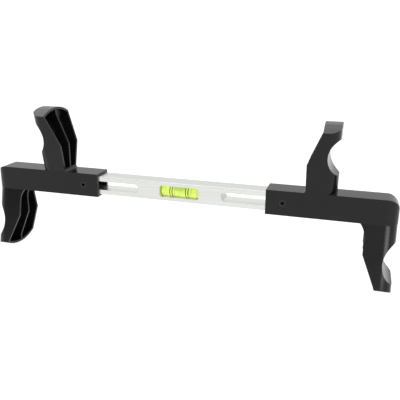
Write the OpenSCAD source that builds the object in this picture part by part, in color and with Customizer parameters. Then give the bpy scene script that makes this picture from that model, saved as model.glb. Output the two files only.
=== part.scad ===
// Steering wheel level: a square bar with a bubble vial and two sprung arms that press on the wheel's rim.
// Frame: origin at the middle of the bar, +X along the bar, -Y towards the reader of the vial, +Z up.

/* [Bar] */
// Length of the bar
bar_l = 250; // [220:1:300]
// Width and height of the square bar
bar_w = 20; // [19.4:0.1:20.6]
// Radius of the bar's long edges
bar_edge_r = 0.8; // [0.3:0.1:1.2]
// Distance from the middle of the bar to the inner end of each slot
slot_in = 45.6; // [43:0.2:47]
// Height of the slots
slot_h = 9.5; // [9:0.1:10]

/* [Vial] */
// Length of the pocket that holds the vial
window_l = 42.7; // [42.4:0.1:46]
// Height of the pocket
window_h = 12; // [11.4:0.1:13]
// Corner radius of the pocket
window_r = 2; // [1:0.1:2.2]
// Depth of the pocket
window_deep = 12; // [11.6:0.1:14]
// Length of the vial
vial_l = 42; // [38:0.1:42.4]
// Diameter of the vial
vial_d = 11; // [10:0.1:11.2]
// Wall of the vial
vial_wall = 1.2; // [1.1:0.1:1.5]
// Chamfer on the ends of the vial, clear of the pocket's round corners
vial_chamfer = 1; // [0.8:0.1:1]
// How far the vial lies behind the face of the bar
vial_recess = 0.3; // [0.1:0.1:0.5]
// Length of the bubble
bubble_l = 13.6; // [11:0.1:14.4]
// Thickness of the bubble
bubble_d = 3.6; // [3:0.1:4]
// Travel of the bubble to each side
bubble_travel = 5; // [3:0.5:6]
// Distance from the middle of the vial to the inner index rings
ring_inner_x = 7.4; // [6:0.1:8]
// Distance from the middle of the vial to the outer index rings
ring_outer_x = 10; // [9:0.1:11]
// Width of an index ring
ring_w = 0.8; // [0.4:0.1:0.9]

/* [Sleeve] */
// Length of each arm along the bar
arm_l = 127.5; // [122:0.5:140]
// Length of the bar inside each sleeve
sleeve_lap = 33; // [29:0.5:38]
// Width and height of the sleeve
sleeve_w = 25.4; // [25:0.1:26.4]
// Radius of the upper outer corner of the sleeve
end_top_r = 12; // [8:0.5:13]
// Radius of the upright outer edges of the arm
nose_r = 12; // [10:0.2:12]
// Thickness of the closed end behind the spring
end_wall = 8.5; // [7.5:0.5:11]

/* [Horn and leg] */
// Distance from the sleeve's mouth to the inner face of the horn
horn_set = 38.6; // [30:0.2:50]
// Length of the horn and the leg along the bar, at the sleeve
paddle_l = 30; // [28:0.5:31]
// Rise of the horn and drop of the leg from the sleeve's face
paddle_h = 68.7; // [64:0.1:74]
// Height of the knee in the inner face, from the sleeve's face
knee_h = 29.5; // [24:0.5:34]
// Outward lean of the inner face, from the knee to its upright upper end
tip_lean = 13.5; // [10:0.5:14]
// Drop from the tip's corner to the foot of that upright end
tip_upright = 0.5; // [0.3:0.1:1.5]
// Width of the tip, across the corners
tip_w = 52.7; // [48:0.1:56]
// Rise of the arched tip above its corners
arch_rise = 7; // [5:0.5:9]
// Wall thickness of the horn and the leg
wall = 2.5; // [2:0.1:3]
// Thickness of the mid rib
rib_t = 2; // [1.6:0.1:2.6]
// Step from the sleeve's outer end to the leg's outer face
leg_step = 0.3; // [0.2:0.1:0.6]
// Fillet between the leg and the sleeve
leg_fillet_r = 20; // [18:0.5:24]
// Height of that fillet, from the sleeve's face to where it runs into the leg
leg_fillet_h = 13; // [10:0.5:14]
// Fillet between the horn and the sleeve
horn_fillet_r = 2.5; // [1.5:0.5:4]

/* [Rim notches] */
// Radius of the horn's notch
horn_notch_r = 21; // [20:0.5:22]
// Radius of the leg's notch
leg_notch_r = 24; // [22:0.5:25]
// Depth of the notches
notch_deep = 11; // [10:0.5:12]
// Height of the notches' middle above the sleeve's face
notch_h = 37; // [36:0.5:38]

/* [Guides and springs] */
// Distance from the sleeve's mouth to the guide pin
pin_set = 17; // [14:0.2:19]
// Diameter of the guide pins
pin_d = 4; // [3:0.1:5]
// Wall of the rolled pins
pin_wall = 0.8; // [0.6:0.1:1]
// Outer diameter of the springs
spring_d = 15; // [14.4:0.1:15.6]
// Wire diameter of the springs
wire_d = 1.2; // [1:0.1:1.3]
// Turns of each spring
spring_turns = 18; // [16:1:19]
// Depth of the spring seat in the end of the bar
seat_deep = 5; // [4:0.5:6]

/* [Clearances] */
// Clearance round the bar in the sleeves
slide_clear = 0.15; // [0.1:0.05:0.3]
// Clearance between the bushes and the slots
bush_clear = 0.1; // [0.05:0.01:0.15]
// Clearance of the pins in their holes
fit_clear = 0.02; // [0.01:0.01:0.04]
// Gap left at each end stop
stop_gap = 0.3; // [0.3:0.1:0.6]

/* [Hidden] */
$fn = 96;
past = 1;
plastic = [0.16, 0.165, 0.16];
alloy = [0.86, 0.87, 0.87];
steel = [0.62, 0.63, 0.64];
ink = [0.08, 0.09, 0.05];

// Places along the bar, tied to its end
bar_half = bar_w / 2;
sleeve_in = bar_l / 2 - sleeve_lap;
arm_out = sleeve_in + arm_l;
horn_in = sleeve_in + horn_set;
pin_x = sleeve_in + pin_set;

// Slots
slot_r = slot_h / 2;
bush_r = slot_r - bush_clear;
slot_out = pin_x + bush_r + stop_gap;

// Vial, lying along the bar just behind its front face
vial_r = vial_d / 2;
vial_y = vial_r + vial_recess - bar_half;
bore_r = vial_r - vial_wall;
vial_end_wall = 2;
plug_l = 2.5;
ring_deep = 0.15;
bed_clear = 0.05;
bubble_r = bubble_d / 2;
bubble_gap = 0.3;
bubble_z = bore_r - bubble_gap - bubble_r;
bubble_half = bubble_l / 2 - bubble_r;

// Sleeve
sleeve_half = sleeve_w / 2;
channel_w = bar_w + 2 * slide_clear;
chamber_out = arm_out - end_wall;
spigot_l = 6;

// Horn and leg share one form, drawn from the sleeve's face upwards
leg_in = arm_out - leg_step - paddle_l;
root_h = 2;
sill_lip = 0.5;
sill_h = horn_fillet_r + sill_lip;
corner_h = paddle_h - arch_rise;
upright_h = corner_h - tip_upright;
flare = (tip_w / 2 - sleeve_half) / corner_h;
flare_a = atan(flare);
arch_r = (pow(tip_w / 2, 2) + pow(arch_rise, 2)) / (2 * arch_rise);
far = 3 * tip_w;

// Pins
pin_recess = 0.8;
pin_slit = 0.6;

// Springs, with flat end turns that lie on their seats
spring_in = bar_l / 2 - seat_deep;
spring_l = chamber_out - spring_in;
coil_r = (spring_d - wire_d) / 2;
wire_r = wire_d / 2;
wire_sides = 6;
turn_rings = 10;
flat_turns = 0.6;
seat_clear = 0.4;
spigot_r = (coil_r - wire_r) * cos(180 / turn_rings) - seat_clear;

// A solid of revolution about an axis along X, from x0 to x1
module rod(r, x0, x1) {
    translate([x0, 0, 0])
        rotate([0, 90, 0])
            cylinder(r = r, h = x1 - x0);
}

// The same with chamfered ends
module chamfered_rod(r, x0, x1, chamfer) {
    rod(r, x0 + chamfer, x1 - chamfer);
    translate([x0, 0, 0])
        rotate([0, 90, 0])
            cylinder(r1 = r - chamfer, r2 = r, h = chamfer);
    translate([x1 - chamfer, 0, 0])
        rotate([0, 90, 0])
            cylinder(r1 = r, r2 = r - chamfer, h = chamfer);
}

// A solid of revolution about an axis along Y, from y0 to y1
module cross_rod(r, y0, y1) {
    translate([0, y0, 0])
        rotate([-90, 0, 0])
            cylinder(r = r, h = y1 - y0);
}

// A box given by its two corners
module box(low, high) {
    translate(low)
        cube(high - low);
}

// A flat X-Z outline made w deep along Y
module deep(w) {
    translate([0, w / 2, 0])
        rotate([90, 0, 0])
            linear_extrude(height = w)
                children();
}

// A rectangle with round corners, about the middle
module round_rect(l, h, r) {
    square([l - 2 * r, h], center = true);
    square([l, h - 2 * r], center = true);
    for (sx = [-1, 1], sz = [-1, 1])
        translate([sx * (l / 2 - r), sz * (h / 2 - r)])
            circle(r = r);
}

// The same on the left side as on the right
module on_left() {
    mirror([1, 0, 0])
        children();
}

// Slot through the bar, with round ends
module slot() {
    box([slot_in + slot_r, -bar_w, -slot_r], [slot_out - slot_r, bar_w, slot_r]);
    for (x = [slot_in + slot_r, slot_out - slot_r])
        translate([x, 0, 0])
            cross_rod(slot_r, -bar_w, bar_w);
}

module bar_end_cuts() {
    slot();
    rod(spring_d / 2 + seat_clear, spring_in, bar_l);
}

module level_bar() {
    color(alloy)
        difference() {
            rotate([90, 0, 90])
                linear_extrude(height = bar_l, center = true)
                    round_rect(bar_w, bar_w, bar_edge_r);
            translate([0, window_deep / 2 - bar_half - past / 2, 0])
                deep(window_deep + past)
                    round_rect(window_l, window_h, window_r);
            bar_end_cuts();
            on_left()
                bar_end_cuts();
        }
}

// Setting compound in the pocket, up to the middle of the vial
module vial_bed() {
    bed_back = window_deep - bar_half;
    color([0.93, 0.93, 0.9])
        difference() {
            translate([0, (vial_y + bed_back) / 2, 0])
                deep(bed_back - vial_y)
                    round_rect(window_l - 2 * bed_clear, window_h - 2 * bed_clear, window_r);
            translate([0, vial_y, 0])
                rod(vial_r + fit_clear, -window_l, window_l);
        }
}

// Band sunk in the vial's outer face, at x along the vial
module vial_band(x) {
    translate([x, vial_y, 0])
        difference() {
            rod(vial_r, -ring_w / 2, ring_w / 2);
            rod(vial_r - ring_deep, -ring_w, ring_w);
        }
}

module vial_tube() {
    color([0.9, 0.95, 0.8, 0.5])
        difference() {
            translate([0, vial_y, 0])
                chamfered_rod(vial_r, -vial_l / 2, vial_l / 2, vial_chamfer);
            translate([0, vial_y, 0])
                rod(bore_r, vial_end_wall - vial_l / 2, vial_l);
            for (x = [ring_inner_x, ring_outer_x], s = [-1, 1])
                vial_band(s * x);
        }
}

module vial_plug() {
    color([0.9, 0.95, 0.8])
        translate([0, vial_y, 0])
            rod(bore_r - fit_clear, vial_l / 2 - plug_l, vial_l / 2);
}

// Liquid in the barrel, with a channel along the top for the bubble
module vial_liquid() {
    channel_r = bubble_r + bubble_gap;
    reach = bubble_half + bubble_travel;
    color([0.8, 0.95, 0.2])
        translate([0, vial_y, 0])
            difference() {
                rod(bore_r - fit_clear, vial_end_wall - vial_l / 2, vial_l / 2 - plug_l);
                translate([0, 0, bubble_z])
                    rod(channel_r, -reach, reach);
                for (s = [-1, 1])
                    translate([s * reach, 0, bubble_z])
                        sphere(r = channel_r);
                box([-reach, -channel_r, bubble_z], [reach, channel_r, vial_d]);
            }
}

module vial_bubble() {
    color([0.9, 1, 0.7])
        translate([0, vial_y, bubble_z]) {
            rod(bubble_r, -bubble_half, bubble_half);
            for (s = [-1, 1])
                translate([s * bubble_half, 0, 0])
                    sphere(r = bubble_r);
        }
}

module index_ring(x) {
    color(ink)
        vial_band(x);
}

// Half depth of a horn or leg at height h above the sleeve's face
function half_w(h) = sleeve_half + flare * h;

// Leaning prism behind a flared front wall, with the round upright edge at its outer corner
module leaning_plan(inset) {
    translate([0, -sleeve_half, 0])
        rotate([flare_a, 0, 0])
            linear_extrude(height = 2 * far, center = true) {
                translate([-far, inset])
                    square([far + paddle_l - nose_r, far]);
                translate([-far, nose_r])
                    square([far + paddle_l - inset, far]);
                translate([paddle_l - nose_r, nose_r])
                    circle(r = nose_r - inset);
            }
}

// Flared block with a knee in its inner face and an arched tip
module paddle_block(inset, inner_x, low) {
    top = paddle_h + past;
    intersection() {
        leaning_plan(inset);
        mirror([0, 1, 0])
            leaning_plan(inset);
        deep(2 * far)
            polygon([
                [inner_x, low],
                [far, low],
                [far, top],
                [inner_x + tip_lean, top],
                [inner_x + tip_lean, upright_h],
                [inner_x, knee_h]
            ]);
        translate([0, 0, paddle_h - arch_r])
            rod(arch_r - inset, -far, far);
    }
}

module notch(r) {
    translate([paddle_l - notch_deep, 0, notch_h])
        translate([r, 0, 0])
            children();
}

module paddle(notch_r) {
    difference() {
        paddle_block(0, 0, -root_h);
        notch(notch_r)
            cross_rod(notch_r, -far, far);
    }
}

// Pocket in the inner face, divided by a mid rib, and open as far as a fillet reaches
module paddle_pocket(notch_r, floor_h, reach) {
    difference() {
        paddle_block(wall, -wall - reach, floor_h);
        notch(notch_r)
            cross_rod(notch_r + wall, -far, far);
        box([-far, -rib_t / 2, -root_h], [far, rib_t / 2, paddle_h]);
    }
}

// How far a fillet reaches along the sleeve: an arc that runs into the inner face at height h
function fillet_reach(r, h) = r - sqrt(pow(r, 2) - pow(h, 2));

// Fillet between the paddle's inner face and the sleeve, as deep as the flared walls
module paddle_fillet(r, h) {
    reach = fillet_reach(r, h);
    intersection() {
        deep(2 * far)
            difference() {
                translate([-reach, -root_h])
                    square([reach + past, h + root_h]);
                translate([-r, h])
                    circle(r = r);
            }
        rotate([90, 0, 90])
            linear_extrude(height = 2 * far, center = true)
                polygon([
                    [-half_w(-root_h), -root_h],
                    [half_w(-root_h), -root_h],
                    [half_w(h), h],
                    [-half_w(h), h]
                ]);
    }
}

module at_horn() {
    translate([horn_in, 0, sleeve_half])
        children();
}

module at_leg() {
    translate([leg_in, 0, -sleeve_half])
        mirror([0, 0, 1])
            children();
}

// Sleeve with a half-round outer end and a round upper corner
module sleeve() {
    mid_x = (sleeve_in + arm_out) / 2;
    body_l = arm_out - nose_r - sleeve_in;
    intersection() {
        linear_extrude(height = sleeve_w, center = true) {
            translate([sleeve_in, -sleeve_half])
                square([body_l, sleeve_w]);
            translate([arm_out - 2 * nose_r, nose_r - sleeve_half])
                square([2 * nose_r, sleeve_w - 2 * nose_r]);
            for (s = [-1, 1])
                translate([arm_out - nose_r, s * (sleeve_half - nose_r)])
                    circle(r = nose_r);
        }
        deep(2 * sleeve_w) {
            translate([sleeve_in, -sleeve_half])
                square([arm_out - sleeve_in - end_top_r, sleeve_w]);
            translate([mid_x, -sleeve_half])
                square([arm_out - mid_x, sleeve_w - end_top_r]);
            translate([arm_out - end_top_r, sleeve_half - end_top_r])
                circle(r = end_top_r);
        }
    }
}

module arm() {
    color(plastic)
        difference() {
            union() {
                sleeve();
                at_horn() {
                    paddle(horn_notch_r);
                    paddle_fillet(horn_fillet_r, horn_fillet_r);
                }
                at_leg() {
                    paddle(leg_notch_r);
                    paddle_fillet(leg_fillet_r, leg_fillet_h);
                }
            }
            at_horn()
                paddle_pocket(horn_notch_r, sill_h, 0);
            at_leg()
                paddle_pocket(leg_notch_r, 0, fillet_reach(leg_fillet_r, leg_fillet_h));
            difference() {
                translate([sleeve_in - past, -channel_w / 2, -channel_w / 2])
                    cube([chamber_out - sleeve_in + past, channel_w, channel_w]);
                rod(spigot_r, chamber_out - spigot_l, chamber_out + past);
            }
            translate([pin_x, 0, 0])
                cross_rod(pin_d / 2 + fit_clear, -sleeve_w, sleeve_w);
        }
}

// Rolled pin: a tube with a slit along it
module guide_pin() {
    pin_half = sleeve_half - pin_recess;
    color(steel)
        translate([pin_x, 0, 0])
            difference() {
                cross_rod(pin_d / 2, -pin_half, pin_half);
                cross_rod(pin_d / 2 - pin_wall, -sleeve_w, sleeve_w);
                box([0, -sleeve_w, -pin_slit / 2], [pin_d, sleeve_w, pin_slit / 2]);
            }
}

module guide_bush() {
    bush_half = channel_w / 2 - stop_gap;
    color([0.9, 0.9, 0.86])
        translate([pin_x, 0, 0])
            difference() {
                cross_rod(bush_r, -bush_half, bush_half);
                cross_rod(pin_d / 2 + fit_clear, -sleeve_w, sleeve_w);
            }
}

// Place of the wire along the spring after u turns: flat in the end turns, even between them
rest_h = wire_r * cos(180 / wire_sides);
pitch = (spring_l - 2 * rest_h) / (spring_turns - 2 * flat_turns);
function rising_turns(u) = min(max(u - flat_turns, 0), spring_turns - 2 * flat_turns);
function coil_x(u) = spring_in + rest_h + pitch * rising_turns(u);

// Ring of the wire after u turns
function coil_ring(u) = [
    for (k = [0 : wire_sides - 1])
        let (a = 360 * k / wire_sides, r = coil_r + wire_r * cos(a))
            [coil_x(u) + wire_r * sin(a), r * cos(360 * u), r * sin(360 * u)]
];
spring_rings = [for (i = [0 : spring_turns * turn_rings]) coil_ring(i / turn_rings)];

// Least gap between neighbouring turns, measured from ring to ring
function ring_middle(ring) = (ring[0] + ring[wire_sides / 2]) / 2;
turn_gaps = [
    for (i = [0 : len(spring_rings) - 1 - turn_rings])
        norm(ring_middle(spring_rings[i + turn_rings]) - ring_middle(spring_rings[i])) - wire_d
];
echo(least_spring_gap = min(turn_gaps));

// Closed tube through a list of rings, each side split into two triangles
module tube(rings) {
    n = len(rings[0]);
    last = len(rings) - 1;
    sides = [
        for (i = [0 : last - 1], k = [0 : n - 1])
            let (a = i * n + k, b = i * n + (k + 1) % n)
                each [[a, a + n, b + n], [a, b + n, b]]
    ];
    polyhedron(
        points = [for (ring = rings) each ring],
        faces = concat([[for (k = [0 : n - 1]) k]], sides, [[for (k = [n - 1 : -1 : 0]) last * n + k]])
    );
}

module spring() {
    color(steel)
        tube(spring_rings);
}

level_bar();
vial_bed();
vial_tube();
vial_plug();
vial_liquid();
vial_bubble();
index_ring(-ring_outer_x);  // index_ring_left_outer
index_ring(-ring_inner_x);  // index_ring_left_inner
index_ring(ring_inner_x);  // index_ring_right_inner
index_ring(ring_outer_x);  // index_ring_right_outer
on_left() arm();  // left_arm
arm();  // right_arm
on_left() guide_pin();  // left_guide_pin
guide_pin();  // right_guide_pin
on_left() guide_bush();  // left_guide_bush
guide_bush();  // right_guide_bush
on_left() spring();  // left_spring
spring();  // right_spring
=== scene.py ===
import math

import bpy
import numpy as np
from mathutils import Matrix, Vector


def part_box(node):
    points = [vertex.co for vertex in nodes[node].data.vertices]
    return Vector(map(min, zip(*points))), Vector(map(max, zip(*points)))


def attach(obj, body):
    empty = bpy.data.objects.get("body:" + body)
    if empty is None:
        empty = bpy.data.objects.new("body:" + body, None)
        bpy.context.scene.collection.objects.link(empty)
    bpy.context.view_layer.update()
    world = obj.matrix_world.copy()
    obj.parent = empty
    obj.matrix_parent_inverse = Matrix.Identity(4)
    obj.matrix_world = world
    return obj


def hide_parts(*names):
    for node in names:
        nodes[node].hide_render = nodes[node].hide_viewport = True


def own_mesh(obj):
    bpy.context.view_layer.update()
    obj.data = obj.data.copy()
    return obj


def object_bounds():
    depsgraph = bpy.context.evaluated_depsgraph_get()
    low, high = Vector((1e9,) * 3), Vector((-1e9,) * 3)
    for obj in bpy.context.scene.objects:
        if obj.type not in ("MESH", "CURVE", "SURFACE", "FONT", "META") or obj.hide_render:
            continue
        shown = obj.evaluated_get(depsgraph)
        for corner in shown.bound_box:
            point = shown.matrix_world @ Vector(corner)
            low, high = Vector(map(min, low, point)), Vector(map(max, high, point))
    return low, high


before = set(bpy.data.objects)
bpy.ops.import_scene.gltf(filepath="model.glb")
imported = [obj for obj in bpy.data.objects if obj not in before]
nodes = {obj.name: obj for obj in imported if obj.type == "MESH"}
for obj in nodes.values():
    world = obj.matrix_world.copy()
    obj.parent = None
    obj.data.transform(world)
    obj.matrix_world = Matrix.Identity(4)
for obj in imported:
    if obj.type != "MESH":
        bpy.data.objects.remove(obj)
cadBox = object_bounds()
mm = 0.001
mixShare, mixFirst, mixSecond, mixOut = 0, 6, 7, 2    # colour sockets of a Mix node, by number
print("frame loaded:", len(nodes), "nodes")


def hexToLinear(code):
    # sRGB hex to linear colour with full alpha
    parts = [int(code[i:i + 2], 16) / 255 for i in (1, 3, 5)]
    return tuple(c / 12.92 if c <= 0.04045 else ((c + 0.055) / 1.055) ** 2.4 for c in parts) + (1.0,)


def toneStops(places, codes):
    # stops of a colour ramp: each tone at its place from 0 to 1
    return [(place, hexToLinear(code)) for place, code in zip(places, codes)]


def addNode(tree, kind, settings, links):
    # settings: "stops" of a colour ramp, attributes by name, or socket values by name or number
    node = tree.nodes.new(kind)
    for name, value in settings.items():
        if name == "stops":
            band = node.color_ramp.elements
            while len(band) < len(value):
                band.new(1.0)
            for element, (position, colour) in zip(band, value):
                element.position = position
                element.color = colour if isinstance(colour, tuple) else (colour, colour, colour, 1.0)
        elif isinstance(name, str) and hasattr(node, name):
            setattr(node, name, value)
        else:
            node.inputs[name].default_value = value
    for socket, source in links.items():
        tree.links.new(source, node.inputs[socket])
    return node


def newMaterial(name, settings):
    # an empty material with one shader and the piece's own coordinates
    material = bpy.data.materials.new(name)
    material.use_nodes = True
    tree = material.node_tree
    tree.nodes.clear()
    shader = addNode(tree, "ShaderNodeBsdfPrincipled", settings, {})
    addNode(tree, "ShaderNodeOutputMaterial", {}, {"Surface": shader.outputs["BSDF"]})
    place = addNode(tree, "ShaderNodeTexCoord", {}, {}).outputs["Object"]
    return material, tree, shader, place


def applyPattern(tree, shader, pattern, look):
    # between two stops the pattern leads the colour from the first tone to the second, and the
    # roughness with it; relief is a bump's strength and its depth in mm
    colour = addNode(tree, "ShaderNodeValToRGB", {"stops": toneStops(look["stops"], look["tones"])},
                     {"Fac": pattern})
    tree.links.new(colour.outputs["Color"], shader.inputs["Base Color"])
    if "glow" in look:
        tree.links.new(colour.outputs["Color"], shader.inputs["Emission Color"])
    if "rough" in look:
        rough = addNode(tree, "ShaderNodeMapRange",
                        {"From Min": look["stops"][0], "From Max": look["stops"][1],
                         "To Min": look["rough"][0], "To Max": look["rough"][1]}, {"Value": pattern})
        tree.links.new(rough.outputs["Result"], shader.inputs["Roughness"])
    if "relief" in look:
        bump = addNode(tree, "ShaderNodeBump",
                       {"Strength": look["relief"][0], "Distance": look["relief"][1] * mm},
                       {"Height": pattern})
        tree.links.new(bump.outputs["Normal"], shader.inputs["Normal"])


def mottledMaterial(name, settings, look):
    # a finish led by one noise, with its grain in mm
    material, tree, shader, place = newMaterial(name, settings)
    noise = addNode(tree, "ShaderNodeTexNoise",
                    {"Scale": 1 / (look["grain"] * mm), "Detail": look["detail"]}, {"Vector": place})
    applyPattern(tree, shader, noise.outputs["Fac"], look)
    return material


# Black ABS, injection moulded in a spark-eroded tool: a deep black with a satin sheen, which turns
# grey only where it is seen at a low angle. The grit is really about 0.05 mm, and is drawn at
# 0.45 mm so that it shows, with its peaks painted a shade paler as painted shading of the grit.
# Edges carry the small round that such a tool leaves and are rubbed a little greyer. A ring round
# each guide pin gets the same grey as a painted highlight round the pin's hole.
def blackMouldedAbs():
    look = {"tones": ("#060706", "#0c0d0c"), "stops": (0.35, 0.75), "cloud": 16.0,
            "gritPeakLight": "#191a19", "grit": 0.45, "peaks": (0.5, 0.7), "relief": (0.4, 0.05),
            "flow": 60.0, "gritShare": 0.5, "sheen": (0.5, 1.0), "rough": (0.16, 0.25),
            "wearAndHighlight": "#2b2c2b", "edge": 0.5, "edgeTurn": (0.98, 0.8), "edgeRub": 0.6,
            "pinX": 109.0, "ring": (2.0, 2.3, 2.9, 3.4), "ringHighlight": (0.0, 0.8, 0.8, 0.0)}
    material, tree, shader, place = newMaterial("blackMouldedAbs", {"IOR": 1.5, "Specular IOR Level": 0.27})
    cloud = addNode(tree, "ShaderNodeTexNoise", {"Scale": 1 / (look["cloud"] * mm), "Detail": 4.0},
                    {"Vector": place})
    colour = addNode(tree, "ShaderNodeValToRGB", {"stops": toneStops(look["stops"], look["tones"])},
                     {"Fac": cloud.outputs["Fac"]})
    grit = addNode(tree, "ShaderNodeTexNoise", {"Scale": 1 / (look["grit"] * mm), "Detail": 2.0},
                   {"Vector": place})
    peaks = addNode(tree, "ShaderNodeMapRange", {"From Min": look["peaks"][0], "From Max": look["peaks"][1]},
                    {"Value": grit.outputs["Fac"]})
    # painted fine shading of the grit: its peaks a shade paler
    gritShading = addNode(tree, "ShaderNodeMix", {"data_type": "RGBA", mixSecond: hexToLinear(look["gritPeakLight"])},
                      {mixShare: peaks.outputs["Result"], mixFirst: colour.outputs["Color"]})
    # sheen: the grit, and the broad patches that the melt's flow leaves, added up
    flow = addNode(tree, "ShaderNodeTexNoise", {"Scale": 1 / (look["flow"] * mm), "Detail": 2.0},
                   {"Vector": place})
    mixed = addNode(tree, "ShaderNodeMath", {"operation": "MULTIPLY_ADD", 1: look["gritShare"]},
                    {0: grit.outputs["Fac"], 2: flow.outputs["Fac"]})
    sheen = addNode(tree, "ShaderNodeMapRange",
                    {"From Min": look["sheen"][0], "From Max": look["sheen"][1],
                     "To Min": look["rough"][0], "To Max": look["rough"][1]},
                    {"Value": mixed.outputs["Value"]})
    tree.links.new(sheen.outputs["Result"], shader.inputs["Roughness"])
    edge = addNode(tree, "ShaderNodeBevel", {"samples": 4, "Radius": look["edge"] * mm}, {})
    bump = addNode(tree, "ShaderNodeBump",
                   {"Strength": look["relief"][0], "Distance": look["relief"][1] * mm},
                   {"Height": grit.outputs["Fac"], "Normal": edge.outputs["Normal"]})
    tree.links.new(bump.outputs["Normal"], shader.inputs["Normal"])
    # rub on the edges: how far the rounded normal turns away from the flat one
    flat = addNode(tree, "ShaderNodeNewGeometry", {}, {}).outputs["Normal"]
    turned = addNode(tree, "ShaderNodeVectorMath", {"operation": "DOT_PRODUCT"},
                     {0: flat, 1: edge.outputs["Normal"]})
    worn = addNode(tree, "ShaderNodeMapRange",
                   {"From Min": look["edgeTurn"][0], "From Max": look["edgeTurn"][1],
                    "To Max": look["edgeRub"]},
                   {"Value": turned.outputs["Value"]})
    # painted highlight round the pins: distance from the pin's axis, which lies along Y at the same
    #     # place on both arms
    folded = addNode(tree, "ShaderNodeVectorMath", {"operation": "ABSOLUTE"}, {0: place})
    section = addNode(tree, "ShaderNodeVectorMath", {"operation": "MULTIPLY", 1: (1, 0, 1)},
                      {0: folded.outputs["Vector"]})
    away = addNode(tree, "ShaderNodeVectorMath", {"operation": "DISTANCE", 1: (look["pinX"] * mm, 0, 0)},
                   {0: section.outputs["Vector"]})
    reach = addNode(tree, "ShaderNodeMath", {"operation": "DIVIDE", 1: look["ring"][-1] * mm},
                    {0: away.outputs["Value"]})
    # painted highlight: a paler ring round each pin's hole
    pinHighlight = addNode(tree, "ShaderNodeValToRGB",
                  {"stops": [(r / look["ring"][-1], rub) for r, rub in zip(look["ring"], look["ringHighlight"])]},
                  {"Fac": reach.outputs["Value"]})
    most = addNode(tree, "ShaderNodeMath", {"operation": "MAXIMUM"},
                   {0: worn.outputs["Result"], 1: pinHighlight.outputs["Color"]})
    # mixes in the grey of the worn edges and of the painted highlight round the pins
    shown = addNode(tree, "ShaderNodeMix", {"data_type": "RGBA", mixSecond: hexToLinear(look["wearAndHighlight"])},
                    {mixShare: most.outputs["Value"], mixFirst: gritShading.outputs[mixOut]})
    tree.links.new(shown.outputs[mixOut], shader.inputs["Base Color"])
    return material


# Aluminium, extruded and clear anodised: a pale satin metal with faint streaks along its length.
# Die lines are about 0.1 mm apart, and are drawn at 0.7 mm so that they show. The faces that the
# end mill cut, in the slots and the pocket, are a little brighter, and are painted darker at the
# round inner ends of the slots as painted shade.
def anodisedExtrusion():
    # the last two entries are the painted shade's colour at the slots' inner ends, and where it fades
    look = {"tones": ("#d1d3cf", "#dee0dc"), "stops": (0.3, 0.7), "line": 0.7, "run": 90.0,
            "rough": (0.26, 0.36), "relief": (0.05, 0.02), "edge": 0.45,
            "cut": "#e6e8e4", "skin": 9.8, "endShade": "#b8bab7", "endShadeX": (44.0, 49.5)}
    material, tree, shader, place = newMaterial("anodisedExtrusion", {"Metallic": 1.0})
    across = 1 / (look["line"] * mm)
    drawn = addNode(tree, "ShaderNodeMapping", {"Scale": (1 / (look["run"] * mm), across, across)},
                    {"Vector": place})
    lines = addNode(tree, "ShaderNodeTexNoise", {"Scale": 1.0, "Detail": 3.0},
                    {"Vector": drawn.outputs["Vector"]})
    colour = addNode(tree, "ShaderNodeValToRGB", {"stops": toneStops(look["stops"], look["tones"])},
                     {"Fac": lines.outputs["Fac"]})
    sheen = addNode(tree, "ShaderNodeMapRange",
                    {"From Min": look["stops"][0], "From Max": look["stops"][1],
                     "To Min": look["rough"][0], "To Max": look["rough"][1]},
                    {"Value": lines.outputs["Fac"]})
    tree.links.new(sheen.outputs["Result"], shader.inputs["Roughness"])
    edge = addNode(tree, "ShaderNodeBevel", {"samples": 4, "Radius": look["edge"] * mm}, {})
    bump = addNode(tree, "ShaderNodeBump",
                   {"Strength": look["relief"][0], "Distance": look["relief"][1] * mm},
                   {"Height": lines.outputs["Fac"], "Normal": edge.outputs["Normal"]})
    tree.links.new(bump.outputs["Normal"], shader.inputs["Normal"])
    # cut faces: all that lies inside the skin of the bar
    folded = addNode(tree, "ShaderNodeVectorMath", {"operation": "ABSOLUTE"}, {0: place})
    split = addNode(tree, "ShaderNodeSeparateXYZ", {}, {0: folded.outputs["Vector"]})
    within = addNode(tree, "ShaderNodeMath", {"operation": "LESS_THAN", 1: look["skin"] * mm},
                     {0: split.outputs["Y"]})
    below = addNode(tree, "ShaderNodeMath", {"operation": "LESS_THAN", 1: look["skin"] * mm},
                    {0: split.outputs["Z"]})
    inside = addNode(tree, "ShaderNodeMath", {"operation": "MULTIPLY"},
                     {0: within.outputs["Value"], 1: below.outputs["Value"]})
    milled = addNode(tree, "ShaderNodeMix", {"data_type": "RGBA", mixSecond: hexToLinear(look["cut"])},
                     {mixShare: inside.outputs["Value"], mixFirst: colour.outputs["Color"]})
    # painted shade: on those faces, from the inner ends of the slots and fading outwards
    near, far = (x * mm for x in look["endShadeX"])
    fading = addNode(tree, "ShaderNodeMapRange", {"From Min": far, "From Max": near},
                     {"Value": split.outputs["X"]})
    past = addNode(tree, "ShaderNodeMath", {"operation": "GREATER_THAN", 1: near}, {0: split.outputs["X"]})
    there = addNode(tree, "ShaderNodeMath", {"operation": "MULTIPLY"},
                    {0: inside.outputs["Value"], 1: past.outputs["Value"]})
    slotEndShade = addNode(tree, "ShaderNodeMath", {"operation": "MULTIPLY"},
                      {0: there.outputs["Value"], 1: fading.outputs["Result"]})
    # the darker colour here is painted shade at the slots' inner ends
    shown = addNode(tree, "ShaderNodeMix", {"data_type": "RGBA", mixSecond: hexToLinear(look["endShade"])},
                    {mixShare: slotEndShade.outputs["Value"], mixFirst: milled.outputs[mixOut]})
    tree.links.new(shown.outputs[mixOut], shader.inputs["Base Color"])
    return material


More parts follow.
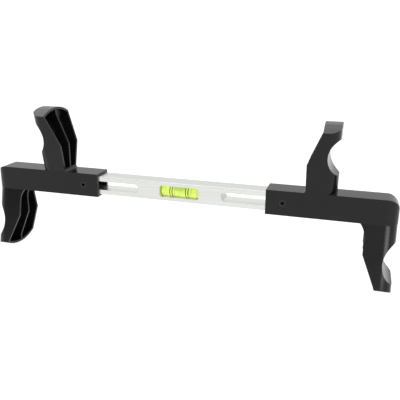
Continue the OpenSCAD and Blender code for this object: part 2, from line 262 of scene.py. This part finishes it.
# Spring steel, rolled to a pin and blackened: nearly black, with a dull metal glint where the
# oxide is thin. Its blotches are about 1 mm.
def blackenedPinSteel():
    look = {"tones": ("#161616", "#3a3a39"), "stops": (0.4, 0.8), "grain": 1.0, "detail": 4.0,
            "rough": (0.5, 0.36), "relief": (0.1, 0.02)}
    return mottledMaterial("blackenedPinSteel", {"Metallic": 1.0}, look)


# Spring wire, drawn and oiled: mid grey, with a fine mottle that the drawing leaves. It is about
# 0.03 mm, and is drawn at 0.3 mm so that it shows.
def drawnSpringWire():
    look = {"tones": ("#6f7071", "#9a9b9c"), "stops": (0.3, 0.7), "grain": 0.3, "detail": 3.0,
            "rough": (0.24, 0.36), "relief": (0.1, 0.01)}
    return mottledMaterial("drawnSpringWire", {"Metallic": 1.0}, look)


# Nylon, turned from bar: milky white, with a waxy gloss and fine turning rings. They are about
# 0.25 mm apart, and are drawn at 1.5 mm so that they show.
def turnedNylon():
    look = {"tones": ("#d9d8cf", "#e8e7e0"), "stops": (0.0, 1.0), "ring": 1.5, "waver": 0.6,
            "rough": (0.44, 0.34), "relief": (0.1, 0.02)}
    bandPeriod = math.pi / 10    # of a Wave texture at scale 1
    material, tree, shader, place = newMaterial("turnedNylon", {"IOR": 1.53})
    rings = addNode(tree, "ShaderNodeTexWave",
                    {"wave_type": "BANDS", "bands_direction": "Y", "Scale": bandPeriod / (look["ring"] * mm),
                     "Distortion": look["waver"]}, {"Vector": place})
    applyPattern(tree, shader, rings.outputs["Fac"], look)
    return material


# Plaster, poured into the pocket: chalk white and matt, with pores of about 0.3 mm
def pouredPlaster():
    look = {"tones": ("#d8d7cf", "#efeee8"), "stops": (0.35, 0.5), "grain": 0.3, "detail": 5.0,
            "rough": (0.92, 0.8), "relief": (0.2, 0.05)}
    return mottledMaterial("pouredPlaster", {"IOR": 1.5}, look)


# Marking ink, rolled into grooves: near black, with a painted olive cast for the liquid's light behind
# it. The film's thin spots are about 0.4 mm.
def grooveInk():
    # the olive in these tones is painted light from the liquid behind
    look = {"tones": ("#0c1004", "#2c3510"), "stops": (0.4, 0.8), "grain": 0.4, "detail": 3.0,
            "rough": (0.42, 0.58), "relief": (0.2, 0.02)}
    return mottledMaterial("grooveInk", {"IOR": 1.5}, look)


# Acrylic, machined and vapour polished: clear as water, with a faint haze in patches of about 6 mm
def polishedAcrylic():
    look = {"tones": ("#f6fbe4", "#eef6d2"), "stops": (0.3, 0.8), "grain": 6.0, "detail": 2.0,
            "rough": (0.01, 0.05)}
    return mottledMaterial("polishedAcrylic", {"IOR": 1.49, "Transmission Weight": 1.0}, look)


# Dyed mineral spirit: a bright yellow-green that glows a little: partly its fluorescent dye, and
# partly painted light that keeps the vial bright. Faint clouds of dye are about 8 mm across.
def fluorescentSpiritPaintedGlow():
    look = {"tones": ("#ecfa9c", "#e7f27c"), "stops": (0.3, 0.75), "grain": 8.0, "detail": 2.0,
            "glow": 0.36}
    # the emission is partly a painted glow
    settings = {"IOR": 1.36, "Roughness": 0.0, "Transmission Weight": 0.75,
                "Emission Strength": look["glow"]}
    return mottledMaterial("fluorescentSpiritPaintedGlow", settings, look)


# Air in the liquid: as clear as glass, with a painted green tint, greener than the liquid round it,
# and a faint painted glow; the tint varies in patches of about 3 mm
def airBubble():
    look = {"tones": ("#8fb84e", "#7ca63c"), "stops": (0.3, 0.75), "grain": 3.0, "detail": 2.0,
            "glow": 0.04}
    # the green tint and the emission are painted
    settings = {"IOR": 1.2, "Roughness": 0.02, "Transmission Weight": 1.0,
                "Emission Strength": look["glow"]}
    return mottledMaterial("airBubble", settings, look)


moulded = blackMouldedAbs()
alloy = anodisedExtrusion()
pinSteel = blackenedPinSteel()
springWire = drawnSpringWire()
nylon = turnedNylon()
plaster = pouredPlaster()
ink = grooveInk()
acrylic = polishedAcrylic()
spirit = fluorescentSpiritPaintedGlow()
air = airBubble()

# A CAD node keeps its mesh and gets its finish in its slots
inkedRings = [name for name in nodes if name.startswith("index_ring")]
finishes = {"left_arm": moulded, "right_arm": moulded, "level_bar": alloy, "vial_bed": plaster,
            "left_guide_pin": pinSteel, "right_guide_pin": pinSteel,
            "left_guide_bush": nylon, "right_guide_bush": nylon}
finishes.update({name: ink for name in inkedRings})
for name, finish in finishes.items():
    slots = nodes[name].data.materials
    slots.clear()
    slots.append(finish)
print("CAD nodes dressed:", len(finishes))


def gridPiece(name, points, poles, material, body, stands):
    # points[i, j] in mm, closed round j; a fan to a pole closes each end, and the faces are turned
    # round if the volume they enclose comes out negative
    rows, sides = points.shape[:2]
    verts = np.concatenate([points.reshape(-1, 3), np.asarray(poles, float)]) * mm
    i, j = np.meshgrid(np.arange(rows - 1), np.arange(sides), indexing="ij")
    k = (j + 1) % sides
    quads = np.stack([i * sides + j, (i + 1) * sides + j, (i + 1) * sides + k, i * sides + k], -1)
    quads = quads.reshape(-1, 4)
    j = np.arange(sides)
    k = (j + 1) % sides
    low = np.stack([np.full(sides, rows * sides), j, k], -1)
    high = np.stack([np.full(sides, rows * sides + 1), (rows - 1) * sides + k, (rows - 1) * sides + j], -1)
    fans = np.concatenate([low, high])
    tris = np.concatenate([quads[:, [0, 1, 2]], quads[:, [0, 2, 3]], fans])
    a, b, c = (verts[tris[:, n]] for n in range(3))
    if np.einsum("ij,ij->", a, np.cross(b, c)) < 0:
        quads, fans = quads[:, ::-1], fans[:, ::-1]
    mesh = bpy.data.meshes.new(name)
    mesh.from_pydata(verts.tolist(), [], quads.tolist() + fans.tolist())
    mesh.polygons.foreach_set("use_smooth", np.ones(len(mesh.polygons), bool))
    mesh.materials.append(material)
    piece = bpy.data.objects.new(name, mesh)
    bpy.context.scene.collection.objects.link(piece)
    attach(piece, body)
    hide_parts(*stands)
    return piece


def roundCorners(corners, radius, steps):
    # each inner corner of a profile becomes a short curve: a quadratic blend between the points
    # that lie one radius before and after it
    corners = np.asarray(corners, float)
    before, at, after = corners[:-2], corners[1:-1], corners[2:]
    back = at + (before - at) / np.linalg.norm(before - at, axis=1, keepdims=True) * radius
    ahead = at + (after - at) / np.linalg.norm(after - at, axis=1, keepdims=True) * radius
    t = np.linspace(0, 1, steps)[None, :, None]
    bends = (1 - t) ** 2 * back[:, None] + 2 * t * (1 - t) * at[:, None] + t ** 2 * ahead[:, None]
    return np.concatenate([corners[:1], bends.reshape(-1, 2), corners[-1:]])


# The vial's places, from the frame, in mm
tubeLow, tubeHigh = (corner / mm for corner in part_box("vial_tube"))
liquidLow, liquidHigh = (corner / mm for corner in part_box("vial_liquid"))
plugLow, plugHigh = (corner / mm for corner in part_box("vial_plug"))
bubbleLow, bubbleHigh = (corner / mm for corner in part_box("vial_bubble"))
ringBoxes = [[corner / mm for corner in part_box(name)] for name in inkedRings]
vialY = (tubeLow.y + tubeHigh.y) / 2
vialR = tubeHigh.z


def turnedPiece(name, corners, size, material, node):
    # a profile of (place along X, radius) with rounded corners, turned round the vial's axis; both
    # ends run in to a small radius, and a pole on the axis closes each
    ends = {"radius": 0.3, "cornerSteps": 3}
    first, last = corners[0][0], corners[-1][0]
    profile = roundCorners([(first, ends["radius"])] + corners + [(last, ends["radius"])],
                           size["round"], ends["cornerSteps"])
    turn = np.linspace(0, 2 * np.pi, size["sides"], endpoint=False)
    x, r = profile[:, :1], profile[:, 1:]
    points = np.stack([x + 0 * turn, vialY + r * np.cos(turn), r * np.sin(turn)], -1)
    poles = [(first, vialY, 0), (last, vialY, 0)]
    gridPiece(name, points, poles, material, "bar_body", [node])


# Barrel: a profile that runs over the outer wall, its chamfers and ink grooves, and back along the
# bore to the end wall
def buildBarrel():
    size = {"chamfer": 1.0, "groove": 0.14, "land": 0.02, "bore": 4.3, "round": 0.06, "sides": 96}
    deep = vialR - size["groove"]
    grooves = []
    for low, high in sorted(ringBoxes, key=lambda box: box[0].x):
        start, end = low.x + size["land"], high.x - size["land"]
        grooves += [(start, vialR), (start, deep), (end, deep), (end, vialR)]
    outer = [(tubeLow.x, vialR - size["chamfer"]), (tubeLow.x + size["chamfer"], vialR)] + grooves
    outer += [(tubeHigh.x - size["chamfer"], vialR), (tubeHigh.x, vialR - size["chamfer"])]
    inner = [(tubeHigh.x, size["bore"]), (liquidLow.x, size["bore"])]
    turnedPiece("vialBarrel", outer + inner, size, acrylic, "vial_tube")


# Plug: a short cylinder, a hair wider than the bore, so that the joint reads as bonded
def buildPlug():
    size = {"over": 0.03, "inset": 0.02, "round": 0.12, "sides": 72}
    r = plugHigh.z + size["over"]
    corners = [(plugLow.x, r), (plugHigh.x - size["inset"], r)]
    turnedPiece("vialPlug", corners, size, acrylic, "vial_plug")


# Liquid: a cylinder that fills the bore from the end wall to the plug, a hair into the barrel's
# walls and the plug, so that no film of air is seen
def buildLiquid():
    size = {"over": 0.03, "into": 0.01, "round": 0.15, "sides": 96}
    r = liquidHigh.z + size["over"]
    corners = [(liquidLow.x - size["into"], r), (liquidHigh.x + size["into"], r)]
    turnedPiece("vialLiquid", corners, size, spirit, "vial_liquid")


# Bubble: ellipse sections that shrink to a point at both ends and lift a little there, held inside
# the bore by scaling every point that would pass it back onto it, so that the top follows the barrel
def buildBubble():
    size = {"wide": 2.9, "bore": 4.14, "blunt": 2.6, "lift": 0.5, "reach": 0.995, "nib": 0.004,
            "rows": 48, "sides": 48}
    midZ = (bubbleLow.z + bubbleHigh.z) / 2
    half = (bubbleHigh.x - bubbleLow.x) / 2
    tall = (bubbleHigh.z - bubbleLow.z) / 2
    along = np.linspace(-size["reach"], size["reach"], size["rows"])[:, None]
    swell = (1 - np.abs(along) ** size["blunt"]) ** (1 / size["blunt"])
    turn = np.linspace(0, 2 * np.pi, size["sides"], endpoint=False)[None, :]
    y = size["wide"] * swell * np.cos(turn)
    z = midZ + tall * swell * np.sin(turn) + (1 - swell) * tall * size["lift"]
    keep = np.minimum(1, size["bore"] / np.hypot(y, z))
    points = np.stack([half * along + 0 * turn, vialY + y * keep, z * keep], -1)
    nib = (half * size["nib"], 0, 0)
    poles = [points[0].mean(0) - nib, points[-1].mean(0) + nib]
    gridPiece("airBubble", points, poles, air, "bubble_body", ["vial_bubble"])


buildBarrel()
buildPlug()
buildLiquid()
buildBubble()
print("vial built")


# Springs: a round wire section carried along a helix, whose end turns stay flat on their seats;
# wire and outside are radii in mm, and pressed and fitted are lengths
def buildSpring(side):
    size = {"turns": 18, "flat": 0.6, "wire": 0.6, "outside": 7.5, "sides": 10, "rings": 40,
            "pressed": 33.0, "fitted": 91.0}
    low, high = (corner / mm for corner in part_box(side + "_spring"))
    turns = np.linspace(0, size["turns"], size["turns"] * size["rings"] + 1)
    climbing = size["turns"] - 2 * size["flat"]
    rise = np.clip(turns - size["flat"], 0, climbing) / climbing
    x = (low.x + size["wire"] + rise * (high.x - low.x - 2 * size["wire"]))[:, None]
    turn = 2 * np.pi * turns[:, None]
    around = np.linspace(0, 2 * np.pi, size["sides"], endpoint=False)[None, :]
    r = size["outside"] - size["wire"] + size["wire"] * np.cos(around)
    points = np.stack([x + size["wire"] * np.sin(around), r * np.cos(turn), r * np.sin(turn)], -1)
    poles = [points[0].mean(0), points[-1].mean(0)]
    piece = gridPiece(side + "SpringCoil", points, poles, springWire, "bar_body",
                      [side + "_spring"])
    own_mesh(piece)


buildSpring("left")
buildSpring("right")
print("springs built")

# Camera solved from the straight edges in the photo, in mm, degrees and pixels
view = {"focal": 546.893, "image": 400, "azimuth": 16.210, "elevation": 17.417, "roll": 0.551,
        "target": (20.515, 0.0, -8.790), "distance": 578.675, "sensor": 36.0, "clip": 10.0}


def placeCamera():
    azimuth, elevation, roll = (math.radians(view[k]) for k in ("azimuth", "elevation", "roll"))
    flat = math.cos(elevation)
    back = Vector((math.sin(azimuth) * flat, -math.cos(azimuth) * flat, math.sin(elevation)))
    right = Vector((math.cos(azimuth), math.sin(azimuth), 0))
    up = back.cross(right)
    rolledRight = right * math.cos(roll) + up * math.sin(roll)
    rolledUp = up * math.cos(roll) - right * math.sin(roll)
    data = bpy.data.cameras.new("photoCamera")
    data.sensor_width = view["sensor"]
    data.lens = view["sensor"] * view["focal"] / view["image"]
    data.clip_start = view["clip"] * mm
    camera = bpy.data.objects.new("photoCamera", data)
    bpy.context.scene.collection.objects.link(camera)
    place = (Vector(view["target"]) + back * view["distance"]) * mm
    turned = Matrix((rolledRight, rolledUp, back)).transposed().to_4x4()
    camera.matrix_world = Matrix.Translation(place) @ turned
    bpy.context.scene.camera = camera


placeCamera()
print("camera placed")

# A white floor in even light, in metres and watts: a soft box behind, a low one in front on the
# right and a small one above in front. Three more, above and behind, light only the arms, whose
# black tops mirror them, because they would burn out the top of the bar. The sky is dimmer in
# front on the left, and what the camera sees of it is plain white.
arms = ("left_arm", "right_arm")
middle = (0.0, 0.0, 0.0)
studio = {"seen": 1.05, "sky": 0.84,
          "shade": 0.45, "shadeFrom": (-0.565, -0.824, 0.04), "shadeEdge": (0.8, 0.97),
          "floorHalf": 3.0, "floorGlow": 0.98, "floorTone": 0.2, "floorGap": 0.0002,
          "boxes": [{"name": "backBox", "place": (0.0, 1.04, 1.0), "aim": middle,
                     "size": (2.2, 0.95), "power": 3.4},
                    {"name": "hornBox", "place": (0.0, 1.04, 1.0), "aim": middle,
                     "size": (3.2, 0.95), "power": 3.4, "lit": arms},
                    {"name": "highBox", "place": (0.0, 0.524, 1.298), "aim": middle,
                     "size": (2.8, 1.13), "power": 10.0, "lit": arms},
                    {"name": "crownBox", "place": (0.0, 0.243, 1.379), "aim": middle,
                     "size": (2.8, 0.91), "power": 12.5, "lit": arms},
                    {"name": "sideBox", "place": (0.76, -0.907, 0.045), "aim": (0.2, 0.0, -0.02),
                     "size": (0.6, 0.24), "power": 2.8},
                    {"name": "keyBox", "place": (-0.35, -0.42, 1.18), "aim": middle,
                     "size": (0.9, 0.5), "power": 3.6}]}


def buildSky():
    world = bpy.data.worlds.new("studio")
    world.use_nodes = True
    bpy.context.scene.world = world
    tree = world.node_tree
    eye = addNode(tree, "ShaderNodeLightPath", {}, {})
    towards = addNode(tree, "ShaderNodeTexCoord", {}, {}).outputs["Generated"]
    facing = addNode(tree, "ShaderNodeVectorMath", {"operation": "DOT_PRODUCT", 1: studio["shadeFrom"]},
                     {0: towards})
    sky = addNode(tree, "ShaderNodeMapRange",
                  {"interpolation_type": "SMOOTHSTEP",
                   "From Min": studio["shadeEdge"][0], "From Max": studio["shadeEdge"][1],
                   "To Min": studio["sky"], "To Max": studio["sky"] * studio["shade"]},
                  {"Value": facing.outputs["Value"]})
    strength = addNode(tree, "ShaderNodeMapRange", {"To Max": studio["seen"]},
                       {"Value": eye.outputs["Is Camera Ray"], "To Min": sky.outputs["Result"]})
    tree.nodes["Background"].inputs["Color"].default_value = (1, 1, 1, 1)
    tree.links.new(strength.outputs["Result"], tree.nodes["Background"].inputs["Strength"])
    bpy.context.scene.view_settings.view_transform = "Standard"


# White card, matt and evenly lit, and clear from below, so that the object's underside can be seen
def buildFloor():
    tone = studio["floorTone"]
    settings = {"Roughness": 0.9, "Base Color": (tone, tone, tone, 1), "Specular IOR Level": 0.0,
                "Emission Color": (1, 1, 1, 1), "Emission Strength": studio["floorGlow"]}
    material, tree, card = newMaterial("whiteCard", settings)[:3]
    under = addNode(tree, "ShaderNodeNewGeometry", {}, {}).outputs["Backfacing"]
    clear = addNode(tree, "ShaderNodeBsdfTransparent", {}, {})
    seen = addNode(tree, "ShaderNodeMixShader", {},
                   {0: under, 1: card.outputs["BSDF"], 2: clear.outputs["BSDF"]})
    tree.links.new(seen.outputs["Shader"], tree.get_output_node("ALL").inputs["Surface"])
    half = studio["floorHalf"]
    low = cadBox[0].z - studio["floorGap"]
    mesh = bpy.data.meshes.new("floor")
    mesh.from_pydata([(-half, -half, low), (half, -half, low), (half, half, low), (-half, half, low)],
                     [], [(0, 1, 2, 3)])
    mesh.materials.append(material)
    floor = bpy.data.objects.new("floor", mesh)
    bpy.context.scene.collection.objects.link(floor)


def hangBox(box):
    lamp = bpy.data.lights.new(box["name"], "AREA")
    lamp.shape = "RECTANGLE"
    lamp.size, lamp.size_y = box["size"]
    lamp.energy = box["power"]
    lampObject = bpy.data.objects.new(box["name"], lamp)
    bpy.context.scene.collection.objects.link(lampObject)
    place, aim = Vector(box["place"]), Vector(box["aim"])
    turned = (place - aim).to_track_quat("Z", "Y").to_matrix().to_4x4()
    lampObject.matrix_world = Matrix.Translation(place) @ turned
    if "lit" in box:    # these nodes alone get its light
        lit = bpy.data.collections.new(box["name"] + "Lit")
        for name in box["lit"]:
            lit.objects.link(nodes[name])
        lampObject.light_linking.receiver_collection = lit


buildSky()
buildFloor()
for softBox in studio["boxes"]:
    hangBox(softBox)
print("studio built")
